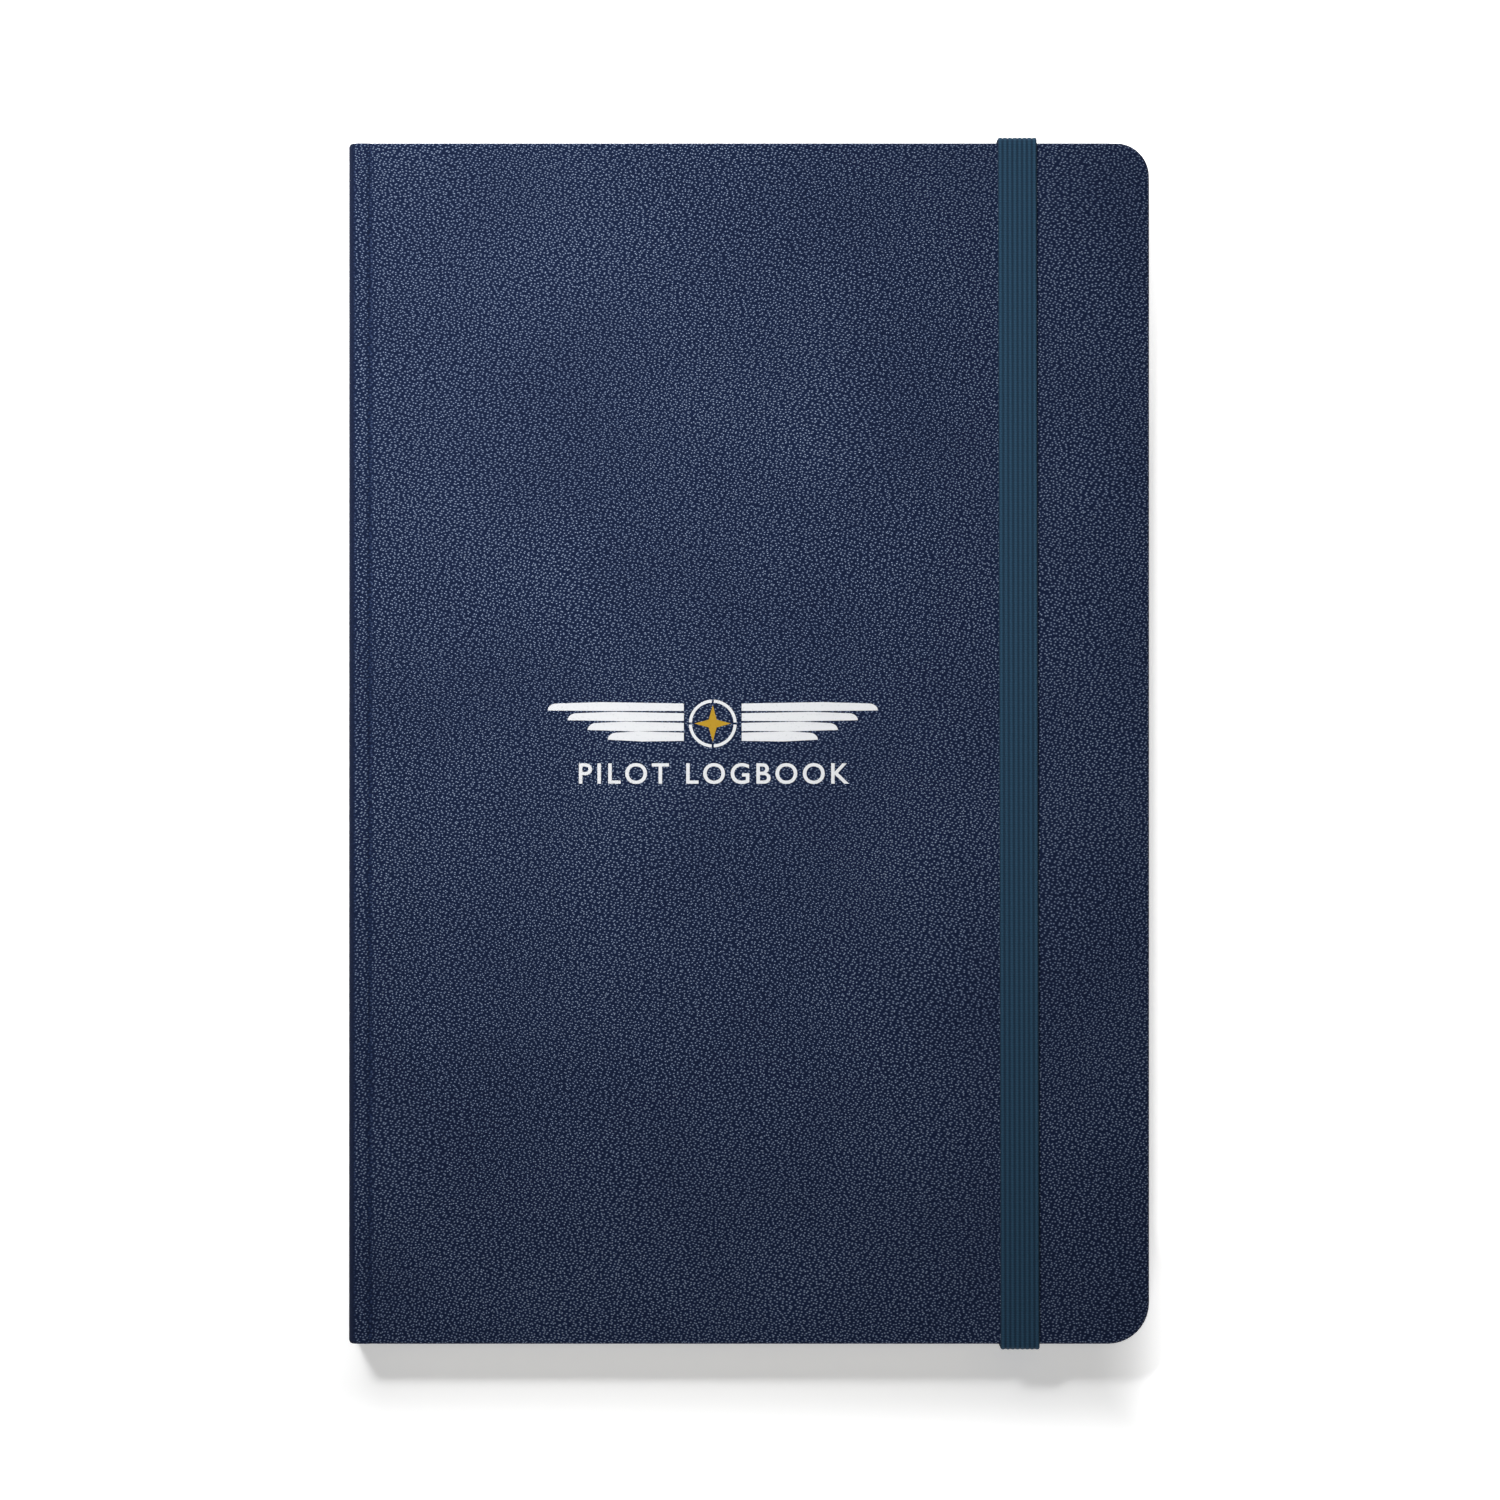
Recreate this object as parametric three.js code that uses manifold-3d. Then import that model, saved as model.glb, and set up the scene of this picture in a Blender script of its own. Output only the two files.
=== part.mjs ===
// Hard-cover logbook with a sewn page block and an elastic closure band.
// Millimetres. +X runs from the spine to the fore-edge, +Y from the tail to the head of the page,
// +Z from the back cover up to the front cover. The book lies closed on its back cover at z = 0.
import * as THREE from 'three';
import { mergeVertices } from 'three/addons/utils/BufferGeometryUtils.js';
import Module from 'manifold-3d';

const wasm = await Module();
wasm.setup();

// ---- driving dimensions ----
const COVER_WIDTH = 144;
const COVER_HEIGHT = 216;
const BOOK_THICKNESS = 14.5;
const HEAD_CORNER_R = 6.0;    // the fore-edge corner at the head is a little tighter than at the tail
const TAIL_CORNER_R = 7.4;

const SKIN = 0.35;            // leatherette over the boards
const BOARD = 2.0;            // greyboard
const TURN_IN = 0.31;         // leatherette folded over the board's inner face
const TURN_IN_WIDTH = 15;
const PASTEDOWN = 0.13;
const FLYLEAF = 0.13;
const GAP = 0.02;             // between pieces glued flat on each other
const LOOSE = 0.05;           // between pieces that part when the book opens

const BOARD_SETBACK = 4.4;    // from the spine's outer face to the board: the flexible joint
const JOINT_END = 1.7;        // the covers' skins and the spine's skin stop this far from the corner
const GROOVE_WIDTH = 0.9;
const GROOVE_DEPTH = 0.2;
const EDGE_R = 0.7;           // the covers' outer edges are rounded
const BOARD_CORNER_R = 0.6;   // the boards' corners at the joint
const PASTE_EDGE = 0.2;       // from the joint's end to the pastedown

const SIGNATURES = 10;
const SIGNATURE_PITCH = 0.83; // eight leaves, folded as four sheets
const SIGNATURE_GAP = 0.04;
const BLOCK_SETBACK = 3.6;    // from the spine's outer face to the folds
const PAGE_MARGIN = 3;        // cover squares at head, tail and fore-edge
const PAGE_CORNER_R = 5;

const STIFFENER = 1.2;
const STIFFENER_END = 2.3;    // from the book's top and bottom faces
const MULL = 0.25;
const MULL_END = 3.35;
const MULL_FLAP_WIDTH = 22;
const MULL_FLAP_EDGE = 0.3;   // from the joint's end to the glued flap
const MULL_FLAP_MARGIN = 2;   // from the turn-ins to the flap's ends
const MULL_BACK = 0.1;        // from the folds to the mull
const MULL_MARGIN = 6;        // from the pages' head and tail
const LINER_MARGIN = 4;

const THREAD_R = 0.17;
const TUNNEL_R = 0.24;
const THREAD_END = 12;        // from the page's head and tail to the last stitch
const THREAD_INSET = 0.05;

const BAND_WIDTH = 7;
const BAND = 0.7;             // thickness of the elastic webbing
const BAND_X = 48.5;
const BAND_LEAN = 0.26;       // the band sits this far left at the head and right at the tail
const BAND_CLEAR = 0.3;       // from the band to the covers' edges
const BAND_LIFT = 0.03;       // from the band to the covers' faces
const BAND_FOLD_R = 0.8;      // where the band turns over the cover's edge
const SPAN_END = 4;           // the band's stretch over the front stops this far from the edges
const SLOT_Y = 94;
const SLOT_LENGTH = 1.6;
const TAB_LENGTH = 12;
const TAB_OVERLAP = 0.06;     // the fixed tab reaches this far past the cover's edge
const TAB_SINK = 0.4;         // the tab lies this deep in the board's inner face
const TAB_ROOM = 2;           // the recess is this much longer than the tab
const CHANNEL_CLEAR = 0.06;   // the channel is this much deeper than the band
const CHANNEL_SIDE = 0.3;     // clearance at each side of the band in its channel

const LEFT = -COVER_WIDTH / 2;
const RIGHT = COVER_WIDTH / 2;
const HALF_HEIGHT = COVER_HEIGHT / 2;
const MID_Z = BOOK_THICKNESS / 2;
const CHANNEL_DEPTH = BAND + CHANNEL_CLEAR;
const BOARD_LOW = SKIN + GAP;
const BOARD_HIGH = BOARD_LOW + BOARD;
const TURN_IN_HIGH = BOARD_HIGH + GAP + TURN_IN;
const PASTEDOWN_LOW = TURN_IN_HIGH + GAP;
const FLYLEAF_LOW = PASTEDOWN_LOW + PASTEDOWN + LOOSE;
const FOLD_X = LEFT + BLOCK_SETBACK;
const PAGE_RIGHT = RIGHT - PAGE_MARGIN;
const PAGE_HALF = HALF_HEIGHT - PAGE_MARGIN;
const PAGE_CORNERS = { head: PAGE_CORNER_R, tail: PAGE_CORNER_R };

// ---- materials ----
const leatherette = { color: 0x28354b, roughness: 0.55 };
const greyboard = { color: 0x8d8a82, roughness: 0.95 };
const endpaper = { color: 0xf0e8d4, roughness: 0.9 };
const pagePaper = { color: 0xf4ecd8, roughness: 0.92 };
const gauze = { color: 0xe6e2d8, roughness: 0.95 };
const kraft = { color: 0xb08d62, roughness: 0.9 };
const linenThread = { color: 0xf4f2ec, roughness: 0.8 };
const webbing = { color: 0x2a4157, roughness: 0.85 };

// ---- solids ----
function solidFrom(geometry) {
  const plain = geometry.index ? geometry : geometry.clone();
  plain.deleteAttribute('normal');
  plain.deleteAttribute('uv');
  const merged = mergeVertices(plain, 1e-5);
  const vertProperties = new Float32Array(merged.attributes.position.array);
  const triVerts = new Uint32Array(merged.index.array);
  return new wasm.Manifold(new wasm.Mesh({ numProp: 3, vertProperties, triVerts }));
}

function geometryFrom(solid) {
  const mesh = solid.getMesh();
  const geometry = new THREE.BufferGeometry();
  geometry.setAttribute('position', new THREE.BufferAttribute(new Float32Array(mesh.vertProperties), 3));
  geometry.setIndex(new THREE.BufferAttribute(new Uint32Array(mesh.triVerts), 1));
  geometry.computeVertexNormals();
  return geometry;
}

function box(x0, x1, y0, y1, z0, z1) {
  const geometry = new THREE.BoxGeometry(x1 - x0, y1 - y0, z1 - z0);
  geometry.translate((x0 + x1) / 2, (y0 + y1) / 2, (z0 + z1) / 2);
  return solidFrom(geometry);
}

// The covers' fore-edge corner radii on an outline that lies inset inside the cover's own.
function coverCorners(inset) {
  return { head: HEAD_CORNER_R - inset, tail: TAIL_CORNER_R - inset };
}

// A rectangle in XY with rounded corners: spineR at the spine side, corners.head and corners.tail at the
// fore-edge side.
function leafOutline(x0, x1, halfHeight, spineR, corners) {
  const { head, tail } = corners;
  const shape = new THREE.Shape();
  shape.moveTo(x0 + spineR, -halfHeight);
  shape.lineTo(x1 - tail, -halfHeight);
  shape.absarc(x1 - tail, -halfHeight + tail, tail, -Math.PI / 2, 0);
  shape.lineTo(x1, halfHeight - head);
  shape.absarc(x1 - head, halfHeight - head, head, 0, Math.PI / 2);
  shape.lineTo(x0 + spineR, halfHeight);
  if (spineR > 0) {
    shape.absarc(x0 + spineR, halfHeight - spineR, spineR, Math.PI / 2, Math.PI);
    shape.lineTo(x0, -halfHeight + spineR);
    shape.absarc(x0 + spineR, -halfHeight + spineR, spineR, Math.PI, 1.5 * Math.PI);
  }
  return shape;
}

function slab(outline, z0, z1) {
  const settings = { depth: z1 - z0, bevelEnabled: false, curveSegments: 8 };
  const geometry = new THREE.ExtrudeGeometry(outline, settings);
  geometry.translate(0, 0, z0);
  return solidFrom(geometry);
}

// The cover's outer slab, with its lower outer edge rounded.
function roundedSlab(x0, z1) {
  const steps = 3;
  const layers = [];
  for (let i = 0; i < steps; i += 1) {
    const inset = EDGE_R * (1 - Math.sin(((i + 1) / steps) * Math.PI / 2));
    const low = EDGE_R * (1 - Math.cos((i / steps) * Math.PI / 2));
    const outline = leafOutline(x0, RIGHT - inset, HALF_HEIGHT - inset, 0, coverCorners(inset));
    layers.push(slab(outline, low, z1));
  }
  return layers.reduce((sum, layer) => sum.add(layer));
}

// A profile drawn as (x, z) and run along Y.
function alongY(profile, y0, y1) {
  const settings = { depth: y1 - y0, bevelEnabled: false, curveSegments: 6 };
  const geometry = new THREE.ExtrudeGeometry(profile, settings);
  geometry.rotateX(Math.PI / 2);
  geometry.translate(0, y1, 0);
  return solidFrom(geometry);
}

// A strap that follows a path in the YZ plane: path is a list of [y, z] corners of its middle line.
function strap(path, x, width, thickness) {
  const points = path.map(([y, z]) => new THREE.Vector2(y, z));
  const left = [];
  const right = [];
  points.forEach((point, i) => {
    const before = points[Math.max(i - 1, 0)];
    const after = points[Math.min(i + 1, points.length - 1)];
    const inward = point.clone().sub(before);
    const outward = after.clone().sub(point);
    if (i === 0) inward.copy(outward);
    if (i === points.length - 1) outward.copy(inward);
    inward.normalize();
    outward.normalize();
    const normal = new THREE.Vector2(-(inward.y + outward.y), inward.x + outward.x).normalize();
    const spread = thickness / 2 / (normal.x * -outward.y + normal.y * outward.x);
    left.push(point.clone().addScaledVector(normal, spread));
    right.push(point.clone().addScaledVector(normal, -spread));
  });
  const profile = new THREE.Shape([...left, ...right.reverse()]);
  const geometry = new THREE.ExtrudeGeometry(profile, { depth: width, bevelEnabled: false });
  // the profile's (y, z) lies in XY and its depth in Z: turn them to Y, Z and X
  const turn = new THREE.Matrix4().set(0, 0, 1, x - width / 2, 1, 0, 0, 0, 0, 1, 0, 0, 0, 0, 0, 1);
  geometry.applyMatrix4(turn);
  return solidFrom(geometry);
}

// ---- the object ----
const book = new THREE.Group();

function addPiece(parent, name, solid, look) {
  const material = new THREE.MeshStandardMaterial({ metalness: 0, ...look });
  const mesh = new THREE.Mesh(geometryFrom(solid), material);
  mesh.name = name;
  parent.add(mesh);
}

// Solids of the front half are made as for the back half and turned over about the book's mid-plane.
function turnedOver(solid) {
  return solid.mirror([0, 0, 1]).translate([0, 0, BOOK_THICKNESS]);
}

function boardOutline(grow) {
  return leafOutline(
    LEFT + BOARD_SETBACK - grow, RIGHT - SKIN - GAP + grow, HALF_HEIGHT - SKIN - GAP + grow,
    BOARD_CORNER_R + grow, coverCorners(SKIN - grow),
  );
}

// The leatherette on one cover: a tray that holds the board, with turned-in edges and a joint groove.
function coverSkin() {
  const spineSide = LEFT + JOINT_END;
  const boardSide = LEFT + BOARD_SETBACK;
  const tall = HALF_HEIGHT + 1;
  const shell = roundedSlab(spineSide, TURN_IN_HIGH);
  const boardRoom = slab(boardOutline(GAP / 2), SKIN, BOARD_HIGH + GAP);
  const innerY = HALF_HEIGHT - TURN_IN_WIDTH;
  const window = box(spineSide - 1, RIGHT - TURN_IN_WIDTH, -innerY, innerY, BOARD_HIGH, TURN_IN_HIGH + 1);
  const joint = box(spineSide - 1, boardSide, -tall, tall, SKIN, TURN_IN_HIGH + 1);
  const groove = box(boardSide - GROOVE_WIDTH, boardSide, -tall, tall, -1, GROOVE_DEPTH);
  return shell.subtract(boardRoom).subtract(window).subtract(joint).subtract(groove);
}

function coverBoard() {
  return slab(boardOutline(0), BOARD_LOW, BOARD_HIGH);
}

function pastedown() {
  const outline = leafOutline(LEFT + BOARD_SETBACK + PASTE_EDGE, PAGE_RIGHT, PAGE_HALF, 0, PAGE_CORNERS);
  return slab(outline, PASTEDOWN_LOW, PASTEDOWN_LOW + PASTEDOWN);
}

function mullFlap() {
  const x0 = LEFT + BOARD_SETBACK + MULL_FLAP_EDGE;
  const y = HALF_HEIGHT - TURN_IN_WIDTH - MULL_FLAP_MARGIN;
  return box(x0, x0 + MULL_FLAP_WIDTH, -y, y, BOARD_HIGH + GAP, BOARD_HIGH + GAP + MULL);
}

function flyleaf() {
  const outline = leafOutline(FOLD_X, PAGE_RIGHT, PAGE_HALF, 0, PAGE_CORNERS);
  return slab(outline, FLYLEAF_LOW, FLYLEAF_LOW + FLYLEAF);
}

// The back cover's channel and slot for one end of the band; side is +1 at the head, -1 at the tail.
function bandX(side) {
  return BAND_X - side * BAND_LEAN;
}

function channelBox(side, grow, depth) {
  const half = BAND_WIDTH / 2 + CHANNEL_SIDE + grow;
  const inner = side * (SLOT_Y - SLOT_LENGTH / 2 - grow);
  const outer = side * (HALF_HEIGHT + 1);
  const x = bandX(side);
  return box(x - half, x + half, Math.min(inner, outer), Math.max(inner, outer), -1, depth);
}

function slotBox(side) {
  const half = BAND_WIDTH / 2 + CHANNEL_SIDE;
  const y = side * SLOT_Y;
  const reach = SLOT_LENGTH / 2;
  return box(bandX(side) - half, bandX(side) + half, y - reach, y + reach, -1, TURN_IN_HIGH + 1);
}

function tabRecess(side) {
  const half = BAND_WIDTH / 2 + CHANNEL_SIDE;
  const ends = [side * (SLOT_Y - TAB_LENGTH - TAB_ROOM), side * (SLOT_Y + SLOT_LENGTH / 2)];
  const x = bandX(side);
  const floor = BOARD_HIGH - TAB_SINK - 2 * GAP;
  return box(x - half, x + half, Math.min(...ends), Math.max(...ends), floor, TURN_IN_HIGH + 1);
}

function backSkin() {
  const outside = box(LEFT - 5, RIGHT + 5, -HALF_HEIGHT, HALF_HEIGHT, -5, BOOK_THICKNESS);
  let skin = coverSkin();
  for (const side of [1, -1]) {
    const pan = channelBox(side, SKIN, CHANNEL_DEPTH + SKIN).intersect(outside);
    const aboveFloor = box(LEFT, RIGHT, -HALF_HEIGHT, HALF_HEIGHT, 0, BOOK_THICKNESS);
    skin = skin.add(pan.intersect(aboveFloor));
    skin = skin.subtract(channelBox(side, 0, CHANNEL_DEPTH)).subtract(slotBox(side));
    skin = skin.subtract(tabRecess(side));
  }
  return skin;
}

function backBoard() {
  let board = coverBoard();
  for (const side of [1, -1]) {
    board = board.subtract(channelBox(side, SKIN + GAP, CHANNEL_DEPTH + SKIN + GAP));
    board = board.subtract(slotBox(side)).subtract(tabRecess(side));
  }
  return board;
}

// The spine's skin: the outer strip with its turned-in ends at the head and the tail.
function spineSkin() {
  const z0 = JOINT_END + 0.1;
  const z1 = BOOK_THICKNESS - z0;
  const thick = SKIN + GAP + STIFFENER + GAP + TURN_IN;
  const full = box(LEFT, LEFT + thick, -HALF_HEIGHT, HALF_HEIGHT, z0, z1);
  const stiffenerRoom = box(
    LEFT + SKIN, LEFT + SKIN + 2 * GAP + STIFFENER, -HALF_HEIGHT + SKIN, HALF_HEIGHT - SKIN, z0 - 1, z1 + 1,
  );
  const innerY = HALF_HEIGHT - TURN_IN_WIDTH;
  const window = box(LEFT + SKIN + 0.01, LEFT + thick + 1, -innerY, innerY, z0 - 1, z1 + 1);
  return full.subtract(stiffenerRoom).subtract(window);
}

function spineStiffener() {
  const x0 = LEFT + SKIN + GAP;
  const y = HALF_HEIGHT - SKIN - GAP;
  return box(x0, x0 + STIFFENER, -y, y, STIFFENER_END, BOOK_THICKNESS - STIFFENER_END);
}

// The leatherette round the lower spine corner, between the spine's skin and the back cover's skin.
function jointSkin() {
  const r = JOINT_END;
  const steps = 6;
  const outer = [];
  const inner = [];
  for (let i = 0; i <= steps; i += 1) {
    const angle = Math.PI + (i / steps) * (Math.PI / 2 - 0.04);
    outer.push(new THREE.Vector2(LEFT + r + r * Math.cos(angle), r + r * Math.sin(angle)));
    inner.push(new THREE.Vector2(LEFT + r + (r - SKIN) * Math.cos(angle), r + (r - SKIN) * Math.sin(angle)));
  }
  return alongY(new THREE.Shape([...outer, ...inner.reverse()]), -HALF_HEIGHT, HALF_HEIGHT);
}

function mull() {
  const x1 = FOLD_X - MULL_BACK;
  const y = PAGE_HALF - MULL_MARGIN;
  return box(x1 - MULL, x1, -y, y, MULL_END, BOOK_THICKNESS - MULL_END);
}

function spineLiner() {
  const x1 = FOLD_X - MULL_BACK - MULL - LOOSE;
  const y = PAGE_HALF - LINER_MARGIN;
  return box(x1 - MULL, x1, -y, y, MULL_END, BOOK_THICKNESS - MULL_END);
}

function signatureZ(index) {
  return MID_Z + (index - SIGNATURES / 2) * SIGNATURE_PITCH + SIGNATURE_GAP / 2;
}

// One folded section: eight leaves as a block with a rounded fold and the thread's tunnel in it.
function signature(index) {
  const z0 = signatureZ(index);
  const thick = SIGNATURE_PITCH - SIGNATURE_GAP;
  const r = thick / 2;
  const profile = new THREE.Shape();
  profile.moveTo(PAGE_RIGHT, z0);
  profile.lineTo(PAGE_RIGHT, z0 + thick);
  profile.lineTo(FOLD_X + r, z0 + thick);
  profile.absarc(FOLD_X + r, z0 + r, r, Math.PI / 2, 1.5 * Math.PI, false);
  const tunnel = new THREE.Path();
  tunnel.absarc(FOLD_X + r + THREAD_INSET, z0 + r, TUNNEL_R, 0, 2 * Math.PI, true);
  profile.holes.push(tunnel);
  const run = alongY(profile, -PAGE_HALF, PAGE_HALF);
  const outline = leafOutline(FOLD_X - 1, PAGE_RIGHT, PAGE_HALF, 0, PAGE_CORNERS);
  return run.intersect(slab(outline, z0 - 1, z0 + thick + 1));
}

function sewingThread(index) {
  const thick = SIGNATURE_PITCH - SIGNATURE_GAP;
  const length = 2 * (PAGE_HALF - THREAD_END);
  const geometry = new THREE.CylinderGeometry(THREAD_R, THREAD_R, length, 8);
  geometry.translate(FOLD_X + thick / 2 + THREAD_INSET, 0, signatureZ(index) + thick / 2);
  return solidFrom(geometry);
}

// ---- the elastic band ----
function bandTab(side) {
  const low = BAND_LIFT + BAND / 2;
  const inside = BOARD_HIGH - TAB_SINK + BAND / 2;
  const path = [
    [side * (SLOT_Y - TAB_LENGTH), inside],
    [side * SLOT_Y, inside],
    [side * SLOT_Y, low],
    [side * (HALF_HEIGHT + TAB_OVERLAP), low],
  ];
  return strap(side > 0 ? path : path.reverse(), bandX(side), BAND_WIDTH, BAND);
}

function bandEnd(side) {
  const y = side * (HALF_HEIGHT + BAND_CLEAR + BAND / 2);
  const low = BAND_LIFT;
  const r = BAND_FOLD_R;
  const top = BOOK_THICKNESS + BAND_LIFT + BAND / 2;
  const path = [[y, low], [y, top - r]];
  for (const angle of [22.5, 45, 67.5]) {
    const a = THREE.MathUtils.degToRad(angle);
    path.push([y - side * r * (1 - Math.cos(a)), top - r + r * Math.sin(a)]);
  }
  path.push([y - side * r, top]);
  path.push([side * (HALF_HEIGHT - SPAN_END), top]);
  return strap(side > 0 ? path : path.reverse(), bandX(side), BAND_WIDTH, BAND);
}

function bandSpan() {
  const y = HALF_HEIGHT - SPAN_END - LOOSE;
  const lean = BAND_LEAN;
  const half = BAND_WIDTH / 2;
  const shape = new THREE.Shape();
  shape.moveTo(BAND_X + lean - half, -y);
  shape.lineTo(BAND_X + lean + half, -y);
  shape.lineTo(BAND_X - lean + half, y);
  shape.lineTo(BAND_X - lean - half, y);
  shape.closePath();
  return slab(shape, BOOK_THICKNESS + BAND_LIFT, BOOK_THICKNESS + BAND_LIFT + BAND);
}

function buildBackCover() {
  addPiece(book, 'back_cover_skin', backSkin(), leatherette);
  addPiece(book, 'back_board', backBoard(), greyboard);
  addPiece(book, 'back_pastedown', pastedown(), endpaper);
  addPiece(book, 'mull_back_flap', mullFlap(), gauze);
  addPiece(book, 'band_head_tab', bandTab(1), webbing);
  addPiece(book, 'band_tail_tab', bandTab(-1), webbing);
}

function buildSpine() {
  addPiece(book, 'spine_skin', spineSkin(), leatherette);
  addPiece(book, 'spine_stiffener', spineStiffener(), greyboard);
  addPiece(book, 'back_joint_skin', jointSkin(), leatherette);
  addPiece(book, 'front_joint_skin', turnedOver(jointSkin()), leatherette);
  addPiece(book, 'spine_mull', mull(), gauze);
  addPiece(book, 'spine_liner', spineLiner(), kraft);
}

function buildFrontCover() {
  addPiece(book, 'front_cover_skin', turnedOver(coverSkin()), leatherette);
  addPiece(book, 'front_board', turnedOver(coverBoard()), greyboard);
  addPiece(book, 'front_pastedown', turnedOver(pastedown()), endpaper);
  addPiece(book, 'mull_front_flap', turnedOver(mullFlap()), gauze);
}

function buildPageBlock() {
  addPiece(book, 'back_flyleaf', flyleaf(), endpaper);
  addPiece(book, 'front_flyleaf', turnedOver(flyleaf()), endpaper);
  for (let index = 0; index < SIGNATURES; index += 1) {
    // signature 1 is the first one read, so it lies at the top
    const number = String(SIGNATURES - index).padStart(2, '0');
    addPiece(book, `signature_${number}`, signature(index), pagePaper);
    addPiece(book, `sewing_thread_${number}`, sewingThread(index), linenThread);
  }
}

function buildBand() {
  addPiece(book, 'band_head_end', bandEnd(1), webbing);
  addPiece(book, 'band_tail_end', bandEnd(-1), webbing);
  addPiece(book, 'band_front_span', bandSpan(), webbing);
}

buildBackCover();
buildSpine();
buildFrontCover();
buildPageBlock();
buildBand();

export default book;
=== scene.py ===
"""Looks of a hard-cover pilot logbook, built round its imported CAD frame. Metres, +Z up, +Y to the head."""
import math
import random
from collections import namedtuple

import bmesh
import bpy
import numpy as np
from mathutils import Matrix, Vector


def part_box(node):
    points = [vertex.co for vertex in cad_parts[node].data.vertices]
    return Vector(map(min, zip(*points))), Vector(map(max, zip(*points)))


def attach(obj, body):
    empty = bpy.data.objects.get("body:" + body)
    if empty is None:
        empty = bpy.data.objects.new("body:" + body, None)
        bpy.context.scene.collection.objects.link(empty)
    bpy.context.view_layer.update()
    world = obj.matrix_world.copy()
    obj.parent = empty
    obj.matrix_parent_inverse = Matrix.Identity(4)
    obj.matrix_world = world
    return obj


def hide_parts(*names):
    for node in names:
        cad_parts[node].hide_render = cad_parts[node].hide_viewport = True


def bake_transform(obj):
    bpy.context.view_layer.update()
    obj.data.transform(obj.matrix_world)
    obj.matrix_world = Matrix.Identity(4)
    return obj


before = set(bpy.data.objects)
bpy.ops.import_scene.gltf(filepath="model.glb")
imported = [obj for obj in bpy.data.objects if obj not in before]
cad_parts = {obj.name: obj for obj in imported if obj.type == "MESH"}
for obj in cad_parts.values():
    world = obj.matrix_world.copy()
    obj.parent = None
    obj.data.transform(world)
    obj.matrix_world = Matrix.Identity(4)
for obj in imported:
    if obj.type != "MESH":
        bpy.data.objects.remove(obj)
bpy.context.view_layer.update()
MM = 0.001

# ---- places taken from the frame ----
FRONT_LOW, FRONT_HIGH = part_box("front_cover_skin")
SPINE_LOW, SPINE_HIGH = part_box("spine_skin")
SPAN_LOW, SPAN_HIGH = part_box("band_front_span")
TAB_LOW, TAB_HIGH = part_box("band_head_tab")
END_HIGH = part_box("band_head_end")[1]
LEFT = SPINE_LOW[0]
RIGHT = FRONT_HIGH[0]
HALF_HEIGHT = FRONT_HIGH[1]
TOP = FRONT_HIGH[2]
MID_Z = TOP / 2
BOARD_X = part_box("front_board")[0][0]
FOLD_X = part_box("signature_01")[0][0]
COVER_DEPTH = TOP - FRONT_LOW[2]
SPINE_DEPTH = SPINE_HIGH[0] - SPINE_LOW[0]

# ---- sizes of the case that only the looks need ----
HEAD_CORNER_R = 6.0 * MM
TAIL_CORNER_R = 7.4 * MM
LEAST_CORNER_R = 0.3 * MM
EDGE_R = 0.7 * MM
UNDER_R = 0.35 * MM
SHOULDER_R = 1.7 * MM
JOINT_DEPTH = 0.78 * MM
GROOVE_X = BOARD_X - 0.45 * MM
GROOVE_DEPTH = 0.34 * MM
GROOVE_SPREAD = 0.42 * MM
TURN_IN = 15 * MM
TURN_IN_STEP = 0.25 * MM
TURN_IN_BEVEL = 0.05 * MM

# ---- sizes of the elastic and of the channels that it lies in ----
BAND_WIDTH = 7 * MM
BAND_RIBS = 8
BAND_LEAN = 0.26 * MM
BAND_SLOT_Y = 94 * MM
BAND_RISE = 1.6 * MM
BAND_TURN = 2.2 * MM
CHANNEL_HALF = 3.75 * MM
CHANNEL_WALL = 0.3 * MM
CHANNEL_END = 92.9 * MM
CHANNEL_DEPTH = 0.77 * MM

# ---- the printed title on the cover ----
TITLE_CENTRE = (-6.5 * MM, 3.6 * MM)
INK_GAP = 0.004 * MM
INK_THICK = 0.022 * MM
WORDS_SIZE = 5.2 * MM
WORDS_DROP = 9.2 * MM

# ---- the page block: FAN sets how far from the fold the sheets' columns lie close together ----
SIGNATURES = range(1, 11)
SHEETS = 4
LEAVES = 2 * SHEETS
LEAF = 0.088 * MM
PAGE_CORNER_R = 5 * MM
FAN = 7.5 * MM

# ---- the log form on the pages, measured from the fold and from the tail: ROW_INK is a share of ROW ----
FORM_RIGHT = 130 * MM
FORM_COLUMNS = tuple(column * MM for column in (14, 30, 50, 70, 82, 94, 106, 118, 129.8))
FORM_TAIL = 11.9 * MM
ROW = 6.4 * MM
FORM_ROWS = 28
HEAD_ROWS = 2
ROW_INK = 0.036
COLUMN_HALF_INK = 0.12 * MM
HEAD_HALF_INK = 0.28 * MM

# ---- the leatherette's flat coordinate: 0 at the spine's middle, and GRAIN_SIDE more on the back case ----
GRAIN_SIDE = 0.4
SHOULDER_RUN = MID_Z - SHOULDER_R + 0.55 * SHOULDER_R
GROOVE_RUN = MID_Z - SHOULDER_R + SHOULDER_R * math.pi / 2 + GROOVE_X - LEFT - SHOULDER_R

# ---- the camera's place over the cover ----
CAMERA_X = 0.2 * MM
CAMERA_Y = -1.16 * MM
CAMERA_RISE = 1123.8 * MM

random.seed(7)


# ---- scene helpers ----
def new_object(name, data):
    obj = bpy.data.objects.new(name, data)
    bpy.context.scene.collection.objects.link(obj)
    return obj


def new_mesh_object(name, verts, faces, material, smooth_angle=40):
    mesh = bpy.data.meshes.new(name)
    mesh.from_pydata([tuple(v) for v in verts], [], faces)
    mesh.validate()
    obj = new_object(name, mesh)
    mesh.materials.append(material)
    mesh.shade_smooth()
    mesh.set_sharp_from_angle(angle=math.radians(smooth_angle))
    return obj


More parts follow.
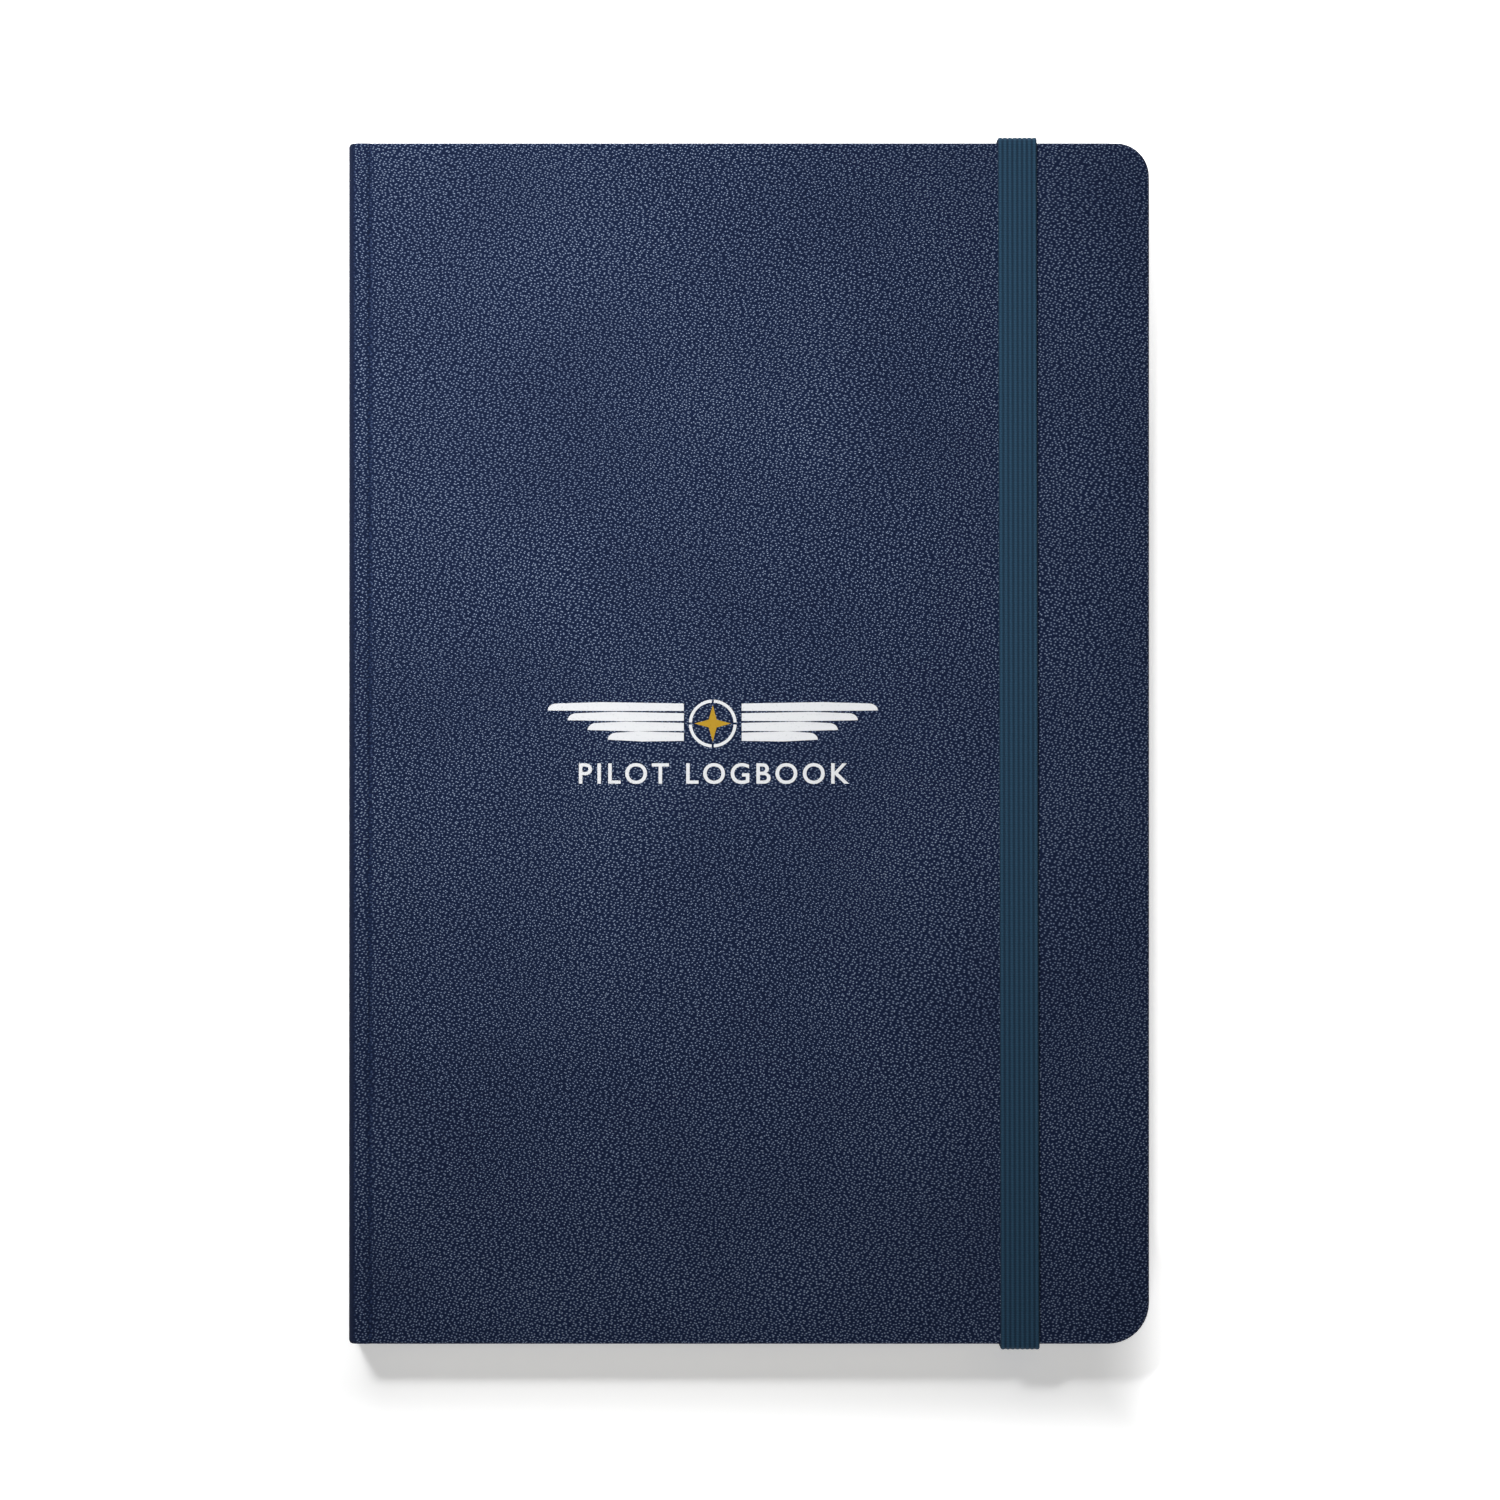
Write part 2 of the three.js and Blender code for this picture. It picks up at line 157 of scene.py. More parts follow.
def face_outward(obj):
    bm = bmesh.new()
    bm.from_mesh(obj.data)
    bmesh.ops.recalc_face_normals(bm, faces=bm.faces)
    bm.to_mesh(obj.data)
    bm.free()


def add_uv(obj, name, coordinates):
    layer = obj.data.uv_layers.new(name=name)
    values = np.array([coordinates[loop.vertex_index] for loop in obj.data.loops], np.float32)
    layer.data.foreach_set("uv", values.reshape(-1))


# ---- node helpers ----
class Nodes:
    """A material's node tree, with one method for each kind of node that the looks use."""

    def __init__(self, name):
        self.material = bpy.data.materials.new(name)
        self.material.use_nodes = True
        self.tree = self.material.node_tree
        self.shader = self.tree.nodes["Principled BSDF"]

    def node(self, kind, **settings):
        made = self.tree.nodes.new(kind)
        for key, value in settings.items():
            setattr(made, key, value)
        return made

    def link(self, source, target):
        self.tree.links.new(source, target)

    def feed(self, socket, value):
        if isinstance(value, bpy.types.NodeSocket):
            self.link(value, socket)
        else:
            socket.default_value = value

    def uv(self, name):
        return self.node("ShaderNodeUVMap", uv_map=name).outputs["UV"]

    def position(self):
        return self.node("ShaderNodeTexCoord").outputs["Object"]

    def axes(self, vector):
        made = self.node("ShaderNodeSeparateXYZ")
        self.link(vector, made.inputs[0])
        return made.outputs["X"], made.outputs["Y"], made.outputs["Z"]

    def scaled(self, vector, scale, rotation=0.0):
        made = self.node("ShaderNodeMapping")
        self.link(vector, made.inputs["Vector"])
        made.inputs["Scale"].default_value = scale
        made.inputs["Rotation"].default_value = (0, 0, rotation)
        return made.outputs["Vector"]

    def noise(self, vector, scale, detail, rough, output="Fac"):
        made = self.node("ShaderNodeTexNoise")
        self.link(vector, made.inputs["Vector"])
        made.inputs["Scale"].default_value = scale
        made.inputs["Detail"].default_value = detail
        made.inputs["Roughness"].default_value = rough
        return made.outputs[output]

    def voronoi(self, vector, scale, feature, **inputs):
        """Distance from the middles of flat cells; inputs are the node's other sockets by name."""
        made = self.node("ShaderNodeTexVoronoi", feature=feature, voronoi_dimensions="2D")
        self.link(vector, made.inputs["Vector"])
        made.inputs["Scale"].default_value = scale
        for key, value in inputs.items():
            made.inputs[key].default_value = value
        return made.outputs["Distance"]

    def math(self, operation, a, b=0.0):
        made = self.node("ShaderNodeMath", operation=operation)
        self.feed(made.inputs[0], a)
        self.feed(made.inputs[1], b)
        return made.outputs[0]

    def weighted(self, *terms):
        """The sum of (value, weight) terms."""
        total = None
        for value, weight in terms:
            part = value if weight == 1 else self.math("MULTIPLY", value, weight)
            total = part if total is None else self.math("ADD", total, part)
        return total

    def shift(self, vector, offset, amount):
        """vector plus amount times (offset - 0.5)."""
        centred = self.node("ShaderNodeVectorMath", operation="SUBTRACT")
        self.link(offset, centred.inputs[0])
        centred.inputs[1].default_value = (0.5, 0.5, 0.5)
        grown = self.node("ShaderNodeVectorMath", operation="SCALE")
        self.link(centred.outputs[0], grown.inputs[0])
        grown.inputs["Scale"].default_value = amount
        added = self.node("ShaderNodeVectorMath", operation="ADD")
        self.link(vector, added.inputs[0])
        self.link(grown.outputs[0], added.inputs[1])
        return added.outputs[0]

    def range(self, value, low, high, to_low=0.0, to_high=1.0, smooth=False):
        made = self.node("ShaderNodeMapRange")
        if smooth:
            made.interpolation_type = "SMOOTHSTEP"
        self.link(value, made.inputs["Value"])
        made.inputs["From Min"].default_value = low
        made.inputs["From Max"].default_value = high
        made.inputs["To Min"].default_value = to_low
        made.inputs["To Max"].default_value = to_high
        return made.outputs["Result"]

    def colours(self, value, *stops):
        made = self.node("ShaderNodeValToRGB")
        self.link(value, made.inputs["Fac"])
        ramp = made.color_ramp
        while len(ramp.elements) < len(stops):
            ramp.elements.new(0.5)
        for element, (place, colour) in zip(ramp.elements, stops):
            element.position = place
            element.color = (*colour, 1)
        return made.outputs["Color"]

    def mix(self, value, a, b):
        made = self.node("ShaderNodeMix", data_type="RGBA")
        self.feed(made.inputs[0], value)
        for socket, colour in ((made.inputs[6], a), (made.inputs[7], b)):
            if isinstance(colour, tuple):
                colour = (*colour, 1)
            self.feed(socket, colour)
        return made.outputs[2]

    def bump(self, height, distance, strength=1.0):
        made = self.node("ShaderNodeBump")
        self.link(height, made.inputs["Height"])
        made.inputs["Distance"].default_value = distance
        made.inputs["Strength"].default_value = strength
        return made.outputs["Normal"]

    def finish(self, colour, roughness, normal=None, specular=0.5):
        self.feed(self.shader.inputs["Base Color"], colour)
        self.feed(self.shader.inputs["Roughness"], roughness)
        self.shader.inputs["Specular IOR Level"].default_value = specular
        if normal is not None:
            self.link(normal, self.shader.inputs["Normal"])
        return self.material


# ---- materials ----
def leatherette_material():
    """Navy PU with a pebble grain about 0.55 mm apart, drawn in the skin's own flat coordinates."""
    n = Nodes("navy_leatherette")
    flat = n.uv("grain")
    drift = n.noise(flat, 26, 1, 0.5, "Color")
    cells = n.scaled(n.shift(flat, drift, 0.006), (0.82, 1.20, 1), 0.42)
    dome = n.voronoi(cells, 1820, "F1", Randomness=0.70)
    # The shoulder mask paints shade into the colour at the spine's shoulders and in the joint's groove, and
    # it also flattens the grain's relief there.
    painted_shade = shoulder_painted_shade(n, flat)
    pebble = n.math("MULTIPLY", n.range(dome, 0.02, 0.54, 1.0, 0.0, True), painted_shade)
    pores = n.noise(flat, 4200, 2, 0.6)
    broad = n.math("MULTIPLY", n.noise(flat, 26, 2, 0.5), painted_shade)
    # Painted highlight and painted shade: the pebble tops are painted a pale grey-blue where glints would be,
    # and the hollows between them a very dark navy. The grain's relief itself comes from the bump.
    colour = n.colours(
        n.weighted((pebble, 0.88), (broad, 0.20)),
        (0.06, (0.0018, 0.0066, 0.0270)),
        (0.52, (0.0062, 0.0180, 0.0620)),
        (0.74, (0.0158, 0.0345, 0.0930)),
        (0.95, (0.2050, 0.2550, 0.3350)),
    )
    rough = n.range(pebble, 0.0, 0.9, 1.0, 0.34)
    height = n.weighted((pebble, 1), (pores, 0.10))
    return n.finish(colour, rough, n.bump(height, 0.09 * MM), 0.24)


def shoulder_painted_shade(n, flat):
    """Painted shade: the colour is darker where the skin turns round the spine's shoulders, and a little
    darker in the joint's groove. The same mask also presses the grain's relief flatter there."""
    across, _, _ = n.axes(flat)
    run = n.math("MULTIPLY", n.math("FRACT", n.math("DIVIDE", across, GRAIN_SIDE)), GRAIN_SIDE)
    from_shoulder = n.math("ABSOLUTE", n.math("SUBTRACT", run, SHOULDER_RUN))
    shoulder = n.range(from_shoulder, 0.75 * MM, 1.35 * MM, 0.12, 1.0, True)
    from_groove = n.math("ABSOLUTE", n.math("SUBTRACT", run, GROOVE_RUN))
    groove = n.range(from_groove, 0.10 * MM, 0.50 * MM, 0.72, 1.0, True)
    return n.math("MULTIPLY", shoulder, groove)


def elastic_material():
    """Covered elastic: cords run along the strap in the mesh, and the weft across it is drawn here. The
    colour is also painted lighter on the cords' crests and darker in the grooves between them: painted shade.
    """
    n = Nodes("ribbed_elastic")
    weft_pitch = 0.42 * MM
    flat = n.uv("weave")
    across, along, _ = n.axes(flat)
    wobble = n.math("MULTIPLY", n.noise(flat, 700, 2, 0.5), 0.9)
    phase = n.math("MULTIPLY", along, 2 * math.pi / weft_pitch)
    weft = n.range(n.math("SINE", n.math("ADD", phase, wobble)), -1, 1)
    fibres = n.noise(n.scaled(flat, (1, 0.35, 1)), 6500, 3, 0.7)
    # rib is 1 on a cord's crest and 0 in the groove between cords; in the colour it paints shade into the
    # grooves.
    rib = n.math("ABSOLUTE", n.math("SINE", n.math("MULTIPLY", across, 1 / BAND_WIDTH * BAND_RIBS * math.pi)))
    colour = n.colours(
        n.weighted((rib, 0.62), (weft, 0.16), (fibres, 0.24)),
        (0.12, (0.0034, 0.0158, 0.0350)),
        (0.62, (0.0096, 0.0368, 0.0715)),
        (1.0, (0.0205, 0.0690, 0.1240)),
    )
    height = n.weighted((weft, 1), (fibres, 0.7))
    n.shader.inputs["Sheen Weight"].default_value = 0.06
    n.shader.inputs["Sheen Roughness"].default_value = 0.45
    return n.finish(colour, 0.8, n.bump(height, 0.06 * MM, 0.8), 0.2)


def paper_material(name, colour, ruled):
    """Uncoated cream stock: fine fibres, and on the pages a ruled log form in pale ink without any words."""
    n = Nodes(name)
    place = n.position()
    fibres = n.noise(place, 2600, 4, 0.65)
    cloud = n.noise(place, 45, 2, 0.5)
    dark = tuple(c * 0.93 for c in colour)
    base = n.colours(n.weighted((fibres, 0.6), (cloud, 0.4)), (0.3, dark), (0.7, colour))
    if ruled:
        base = n.mix(ruling(n), base, (0.16, 0.25, 0.36))
    return n.finish(base, 0.88, n.bump(fibres, 0.03 * MM, 0.35), 0.25)


def ruling(n):
    """How much ink there is at a point of a page: rows, a heavier head row and the columns of a log form."""
    x, y, _ = n.axes(n.uv("page"))
    inside_x = n.math(
        "MULTIPLY",
        n.math("GREATER_THAN", x, FORM_COLUMNS[0]),
        n.math("LESS_THAN", x, FORM_RIGHT),
    )
    inside_y = n.math(
        "MULTIPLY",
        n.math("GREATER_THAN", y, FORM_TAIL),
        n.math("LESS_THAN", y, FORM_TAIL + FORM_ROWS * ROW),
    )
    phase = n.math("FRACT", n.math("DIVIDE", n.math("SUBTRACT", y, FORM_TAIL), ROW))
    ink = n.math("LESS_THAN", phase, ROW_INK)
    for column in FORM_COLUMNS:
        near = n.math("ABSOLUTE", n.math("SUBTRACT", x, column))
        ink = n.math("MAXIMUM", ink, n.math("LESS_THAN", near, COLUMN_HALF_INK))
    head = n.math("ABSOLUTE", n.math("SUBTRACT", y, FORM_TAIL + (FORM_ROWS - HEAD_ROWS) * ROW))
    ink = n.math("MAXIMUM", ink, n.math("LESS_THAN", head, HEAD_HALF_INK))
    inside = n.math("MULTIPLY", inside_x, inside_y)
    return n.math("MULTIPLY", n.math("MULTIPLY", ink, inside), 0.8)


def board_material():
    n = Nodes("greyboard")
    flecks = n.noise(n.position(), 1400, 5, 0.7)
    colour = n.colours(flecks, (0.3, (0.13, 0.12, 0.105)), (0.7, (0.30, 0.28, 0.25)))
    return n.finish(colour, 0.95, n.bump(flecks, 0.05 * MM, 0.5), 0.2)


def kraft_material():
    n = Nodes("kraft_paper")
    fibres = n.noise(n.scaled(n.position(), (1, 0.25, 1)), 1800, 4, 0.65)
    colour = n.colours(fibres, (0.3, (0.25, 0.15, 0.075)), (0.75, (0.42, 0.27, 0.14)))
    return n.finish(colour, 0.9, n.bump(fibres, 0.03 * MM, 0.5), 0.2)


def gauze_material():
    """Open-weave mull: threads 0.45 mm apart both ways."""
    n = Nodes("mull_gauze")
    _, y, z = n.axes(n.position())
    turn = 2 * math.pi / (0.9 * MM)
    warp = n.math("ABSOLUTE", n.math("SINE", n.math("MULTIPLY", y, turn)))
    weft = n.math("ABSOLUTE", n.math("SINE", n.math("MULTIPLY", z, turn)))
    cloth = n.math("MAXIMUM", warp, weft)
    colour = n.colours(cloth, (0.55, (0.42, 0.36, 0.27)), (0.85, (0.80, 0.77, 0.70)))
    return n.finish(colour, 0.92, n.bump(cloth, 0.1 * MM, 0.8), 0.2)


def thread_material():
    n = Nodes("linen_thread")
    fibres = n.noise(n.scaled(n.position(), (1, 0.2, 1)), 9000, 3, 0.6)
    colour = n.colours(fibres, (0.3, (0.62, 0.60, 0.55)), (0.7, (0.86, 0.85, 0.80)))
    return n.finish(colour, 0.7, n.bump(fibres, 0.04 * MM, 0.6), 0.3)


def print_material(name, light, dark, roughness):
    """Screen-printed ink: it keeps a little of the grain under it and has faint dry spots."""
    n = Nodes(name)
    place = n.position()
    grain = n.voronoi(n.scaled(place, (0.86, 1.12, 1), 0.35), 1180, "SMOOTH_F1", Smoothness=0.25)
    spots = n.noise(place, 2400, 3, 0.6)
    colour = n.colours(spots, (0.28, dark), (0.42, light))
    return n.finish(colour, roughness, n.bump(grain, 0.05 * MM, 0.5), 0.25)


LEATHERETTE = leatherette_material()
ELASTIC = elastic_material()
PAGE = paper_material("page_paper", (0.72, 0.66, 0.53), True)
ENDPAPER = paper_material("endpaper", (0.69, 0.62, 0.49), False)
BOARD = board_material()
KRAFT = kraft_material()
GAUZE = gauze_material()
THREAD = thread_material()
WHITE_INK = print_material("white_ink", (0.66, 0.67, 0.69), (0.53, 0.55, 0.57), 0.5)
GOLD_INK = print_material("gold_ink", (0.40, 0.235, 0.008), (0.30, 0.17, 0.006), 0.45)


# ---- leatherette cover ----
# One column of the case: its place and outward normal in XZ, the thickness of what the leatherette wraps
# there, the flat coordinate, and its angle round the fore-edge corners or None.
Column = namedtuple("Column", "place out depth run angle")
UPWARD = (0.0, 1.0)


def band_x(y):
    """The band's middle leans from left at the head to right at the tail."""
    middle = (SPAN_LOW[0] + SPAN_HIGH[0]) / 2
    return middle - BAND_LEAN * y / HALF_HEIGHT


def smooth_between(value, low, high):
    """0 below low, 1 above high, and a smooth step between them."""
    t = min(max((value - low) / (high - low), 0.0), 1.0)
    return t * t * (3 - 2 * t)


def spine_to_board_path():
    """(place, outward normal) in XZ from the middle of the spine round its shoulder and over the joint."""
    spine_steps = 6
    shoulder_steps = 8
    joint_steps = 18
    path = []
    for i in range(spine_steps + 1):
        path.append(((LEFT, MID_Z + (TOP - SHOULDER_R - MID_Z) * i / spine_steps), (-1.0, 0.0)))
    centre = (LEFT + SHOULDER_R, TOP - SHOULDER_R)
    for i in range(1, shoulder_steps + 1):
        angle = math.pi - math.pi / 2 * i / shoulder_steps
        out = (math.cos(angle), math.sin(angle))
        path.append(((centre[0] + SHOULDER_R * out[0], centre[1] + SHOULDER_R * out[1]), out))
    start = LEFT + SHOULDER_R
    stop = BOARD_X + 1.2 * MM
    for i in range(1, joint_steps + 1):
        x = start + (stop - start) * i / joint_steps
        offset = (x - GROOVE_X) / GROOVE_SPREAD
        path.append(((x, TOP - GROOVE_DEPTH * math.exp(-offset * offset)), UPWARD))
    return path


def wrapped_depth(x, z):
    """Thickness of the spine, the joint or the board with its leatherette, at a place on the outside."""
    if z < TOP - SHOULDER_R:
        return SPINE_DEPTH
    past_shoulder = smooth_between(x, LEFT, LEFT + SHOULDER_R)
    on_board = smooth_between(x, BOARD_X - 0.55 * MM, BOARD_X - 0.1 * MM)
    joint = SPINE_DEPTH + (JOINT_DEPTH - SPINE_DEPTH) * past_shoulder
    return joint + (COVER_DEPTH - (TOP - z) - joint) * on_board


class CoverShape:
    """The front half of the case: columns across the book, each with rows from the tail to the head."""

    CORNER_STEPS = 10
    BOARD_STEPS = 30
    ROW_STEPS = 44

    def __init__(self, channelled):
        self.channelled = channelled
        self.rows = self.row_list()
        self.columns = []
        run = 0.0
        before = None
        for place, out in spine_to_board_path():
            if before is not None:
                run += math.dist(place, before)
            before = place
            self.columns.append(Column(place, out, wrapped_depth(*place), run, None))
        self.board_start = before[0]
        self.board_end = RIGHT - max(HEAD_CORNER_R, TAIL_CORNER_R)
        for x in self.board_places():
            self.columns.append(Column((x, TOP), UPWARD, COVER_DEPTH, run + x - self.board_start, None))
        run += self.board_end - self.board_start
        for i in range(1, self.CORNER_STEPS + 1):
            angle = math.pi / 2 * (1 - i / self.CORNER_STEPS)
            self.columns.append(Column((self.board_end, TOP), UPWARD, COVER_DEPTH, run, angle))

    def board_places(self):
        """x places over the board, with close ones at the sides of the band's channels."""
        first = self.board_start
        last = self.board_end
        places = {first + (last - first) * i / self.BOARD_STEPS for i in range(1, self.BOARD_STEPS + 1)}
        if self.channelled:
            for side in (1, -1):
                middle = band_x(side * HALF_HEIGHT)
                for away in (CHANNEL_HALF, CHANNEL_HALF + CHANNEL_WALL):
                    places |= {middle - away, middle + away}
        return sorted(places)

    def row_list(self):
        """Rows from -1 at the tail to 1 at the head, with close ones at the ends of the band's channels."""
        rows = {2 * j / self.ROW_STEPS - 1 for j in range(self.ROW_STEPS + 1)}
        if self.channelled:
            for y in (CHANNEL_END, CHANNEL_END + CHANNEL_WALL):
                rows |= {y / (HALF_HEIGHT - EDGE_R), -y / (HALF_HEIGHT - EDGE_R)}
        return sorted(rows)

    def channel(self, x, y):
        """How far the skin is pressed in at a point for the band's end."""
        if not self.channelled or abs(y) < CHANNEL_END:
            return 0.0
        away = abs(x - band_x(math.copysign(HALF_HEIGHT, y)))
        across = 1 - smooth_between(away, CHANNEL_HALF, CHANNEL_HALF + CHANNEL_WALL)
        return CHANNEL_DEPTH * across * smooth_between(abs(y), CHANNEL_END, CHANNEL_END + CHANNEL_WALL)

    def half_point(self, column, inset, corner_r):
        """(x, y extent) of a column on the outline moved in by inset, at the end with a corner_r corner."""
        r = corner_r - inset
        centre_x = RIGHT - corner_r
        centre_y = HALF_HEIGHT - corner_r
        if r < LEAST_CORNER_R:
            r = LEAST_CORNER_R
            centre_x = RIGHT - inset - r
            centre_y = HALF_HEIGHT - inset - r
        if column.angle is not None:
            return centre_x + r * math.cos(column.angle), centre_y + r * math.sin(column.angle)
        x = column.place[0]
        if x > self.board_start:
            reach = min(centre_x, self.board_end) - self.board_start
            x = self.board_start + (x - self.board_start) * reach / (self.board_end - self.board_start)
        return x, HALF_HEIGHT - inset

    def point(self, column, inset, row, down):
        """A point at row (-1 at the tail to 1 at the head), sunk by down along the inward normal."""
        head_x, head_y = self.half_point(column, inset, HEAD_CORNER_R)
        tail_x, tail_y = self.half_point(column, inset, TAIL_CORNER_R)
        x = tail_x + (head_x - tail_x) * (row + 1) / 2
        y = row * (head_y if row > 0 else tail_y)
        pressed = self.channel(x, y)
        down = pressed + down * (column.depth - pressed) / column.depth
        return (x - column.out[0] * down, y, column.place[1] - column.out[1] * down)


def edge_profile(depth):
    """(inset, down) steps from the flat face round the edge, down it and in under it along the turn-in."""
    upper = min(EDGE_R, 0.55 * depth)
    under = min(UNDER_R, 0.35 * depth)
    upper_steps = 6
    under_steps = 3
    steps = []
    for i in range(1, upper_steps + 1):
        angle = math.pi / 2 * i / upper_steps
        steps.append((EDGE_R * (1 - math.sin(angle)), upper * (1 - math.cos(angle))))
    for i in range(under_steps + 1):
        angle = math.pi / 2 * i / under_steps
        steps.append((under * (1 - math.cos(angle)), depth - under + under * math.sin(angle)))
    steps.append((TURN_IN * 0.5, depth))
    steps.append((TURN_IN, depth))
    return steps


class CoverMesh:
    """Vertices, faces and flat coordinates of the closed leather case half: an outer grid, rings round the
    edge from it to the end of the turn-in, an inner grid, and one face at the middle of the spine."""

    def __init__(self, shape):
        self.shape = shape
        self.verts = []
        self.flat = []
        self.faces = []
        stations = self.rim_stations()
        outer = self.add_grid(EDGE_R, lambda depth: 0.0)
        rings = self.add_rings(outer, stations)
        inner = self.add_grid(TURN_IN + TURN_IN_BEVEL, lambda depth: depth - TURN_IN_STEP)
        rings.append([inner[i][j] for i, j in stations])
        self.add_faces(outer, inner, rings)

    def add(self, point, flat):
        self.verts.append(point)
        self.flat.append(flat)
        return len(self.verts) - 1

    def rim_stations(self):
        """(column, row) places round the tail, the fore-edge and the head, from spine to spine."""
        last_column = len(self.shape.columns) - 1
        last_row = len(self.shape.rows) - 1
        tail = [(i, 0) for i in range(last_column + 1)]
        fore_edge = [(last_column, j) for j in range(1, last_row)]
        head = [(i, last_row) for i in reversed(range(last_column + 1))]
        return tail + fore_edge + head

    def add_grid(self, inset, sink):
        ids = []
        for column in self.shape.columns:
            down = sink(column.depth)
            line = []
            for row in self.shape.rows:
                point = self.shape.point(column, inset, row, down)
                run = column.run + (point[0] - column.place[0] if column.angle is not None else 0)
                line.append(self.add(point, (run, point[1])))
            ids.append(line)
        return ids

    def add_rings(self, outer, stations):
        """The outer grid's rim, then one ring for each step of the edge's profile. The flat coordinates go
        on outward from the rim by the way travelled."""
        last_row = len(self.shape.rows) - 1
        rings = [[outer[i][j] for i, j in stations]]
        starts = [self.flat[rim] for rim in rings[0]]
        travelled = [0.0] * len(stations)
        for k in range(len(edge_profile(COVER_DEPTH))):
            ring = []
            for index, (i, j) in enumerate(stations):
                column = self.shape.columns[i]
                row = self.shape.rows[j]
                inset, down = edge_profile(column.depth)[k]
                point = self.shape.point(column, inset, row, down)
                travelled[index] += math.dist(point, self.verts[rings[-1][index]])
                across = 0.0 if column.angle is None else math.cos(column.angle)
                along = (1 if row > 0 else -1) * math.sqrt(max(0.0, 1 - across * across))
                if 0 < j < last_row:
                    across, along = 1.0, 0.0
                u, v = starts[index]
                ring.append(self.add(point, (u + across * travelled[index], v + along * travelled[index])))
            rings.append(ring)
        return rings

    def add_faces(self, outer, inner, rings):
        rows = len(self.shape.rows)
        for i in range(len(self.shape.columns) - 1):
            for j in range(rows - 1):
                self.faces.append((outer[i][j], outer[i + 1][j], outer[i + 1][j + 1], outer[i][j + 1]))
                self.faces.append((inner[i][j], inner[i][j + 1], inner[i + 1][j + 1], inner[i + 1][j]))
        for near, far in zip(rings, rings[1:]):
            for a in range(len(near) - 1):
                self.faces.append((near[a], far[a], far[a + 1], near[a + 1]))
        end = outer[0] + [ring[-1] for ring in rings[1:-1]]
        end += inner[0][::-1] + [ring[0] for ring in reversed(rings[1:-1])]
        self.faces.append(tuple(end))


def make_cover(name, turned_over):
    made = CoverMesh(CoverShape(turned_over))
    verts, faces, flat = made.verts, made.faces, made.flat
    if turned_over:
        verts = [(x, y, TOP - z) for x, y, z in verts]
        faces = [tuple(reversed(face)) for face in faces]
        flat = [(u + GRAIN_SIDE, v) for u, v in flat]
    obj = new_mesh_object(name, verts, faces, LEATHERETTE, 50)
    add_uv(obj, "grain", flat)
    face_outward(obj)
    return obj


front_case = make_cover("front_case_leather", False)
back_case = make_cover("back_case_leather", True)


# ---- printed title: its outlines are in millimetres from the star's middle ----
def ink_object(name, outlines, material):
    """Flat ink shapes, each a closed list of (x, y) in millimetres, laid just above the cover."""
    verts = []
    faces = []
    for outline in outlines:
        count = len(outline)
        low = range(len(verts), len(verts) + count)
        high = range(low.stop, low.stop + count)
        for z in (TOP + INK_GAP, TOP + INK_GAP + INK_THICK):
            verts += [(TITLE_CENTRE[0] + x * MM, TITLE_CENTRE[1] + y * MM, z) for x, y in outline]
        faces += [tuple(low), tuple(high)]
        faces += [(low[i - 1], low[i], high[i], high[i - 1]) for i in range(count)]
    obj = new_mesh_object(name, verts, faces, material)
    face_outward(obj)
    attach(obj, "front_cover")


def feather(index, side):
    """One feather of a wing: a long bar with a rounded tip, lower feathers shorter and further down."""
    length = 24.5 - 3.6 * index
    root = 5.2
    high = 3.6 - 1.75 * index
    thick = 1.25
    droop = 0.35 + 0.25 * index
    tip = 1.6
    tip_steps = 6
    outline = [(root, high), (root + length * 0.6, high + 0.25)]
    for i in range(tip_steps + 1):
        angle = math.pi / 2 - math.pi / 2 * i / tip_steps
        x = root + length - tip + tip * math.cos(angle)
        outline.append((x, high - thick * (1 - math.sin(angle))))
    outline.append((root + length * 0.55, high - thick - droop * 0.3))
    outline.append((root, high - thick - droop * 0.2))
    return [(side * x, y) for x, y in outline]


def ring_parts(outer, inner, parts=4, steps=12):
    """A ring as a few closed arcs with small gaps between them."""
    shapes = []
    for part in range(parts):
        low = 2 * math.pi * (part + 0.03) / parts
        high = 2 * math.pi * (part + 0.97) / parts
        angles = [low + (high - low) * i / steps for i in range(steps + 1)]
        arc = [(outer * math.cos(a), outer * math.sin(a)) for a in angles]
        arc += [(inner * math.cos(a), inner * math.sin(a)) for a in reversed(angles)]
        shapes.append(arc)
    return shapes


def compass_star(radius, waist):
    points = []
    for i in range(8):
        reach = radius if i % 2 == 0 else waist
        angle = math.pi / 4 * i + math.pi / 2
        points.append((reach * math.cos(angle), reach * math.sin(angle)))
    return points


def make_words():
    """The kind of object in plain capitals, as solid ink letters."""
    words = bpy.data.curves.new("title_words", "FONT")
    words.body = "PILOT LOGBOOK"
    words.align_x = "CENTER"
    words.align_y = "CENTER"
    words.size = WORDS_SIZE
    words.space_character = 1.25
    words.extrude = INK_THICK / 2
    words.offset = 0.06 * MM
    words.resolution_u = 6
    curve_object = new_object("title_words_curve", words)
    bpy.context.view_layer.update()
    final = curve_object.evaluated_get(bpy.context.evaluated_depsgraph_get())
    mesh = bpy.data.meshes.new_from_object(final)
    bpy.data.objects.remove(curve_object)
    mesh.name = "title_words"
    bm = bmesh.new()
    bm.from_mesh(mesh)
    bmesh.ops.remove_doubles(bm, verts=bm.verts, dist=1e-6)
    bm.to_mesh(mesh)
    bm.free()
    place = (TITLE_CENTRE[0], TITLE_CENTRE[1] - WORDS_DROP, TOP + INK_GAP + INK_THICK / 2)
    mesh.transform(Matrix.Translation(place))
    mesh.materials.clear()
    mesh.materials.append(WHITE_INK)
    obj = new_object("title_words", mesh)
    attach(obj, "front_cover")


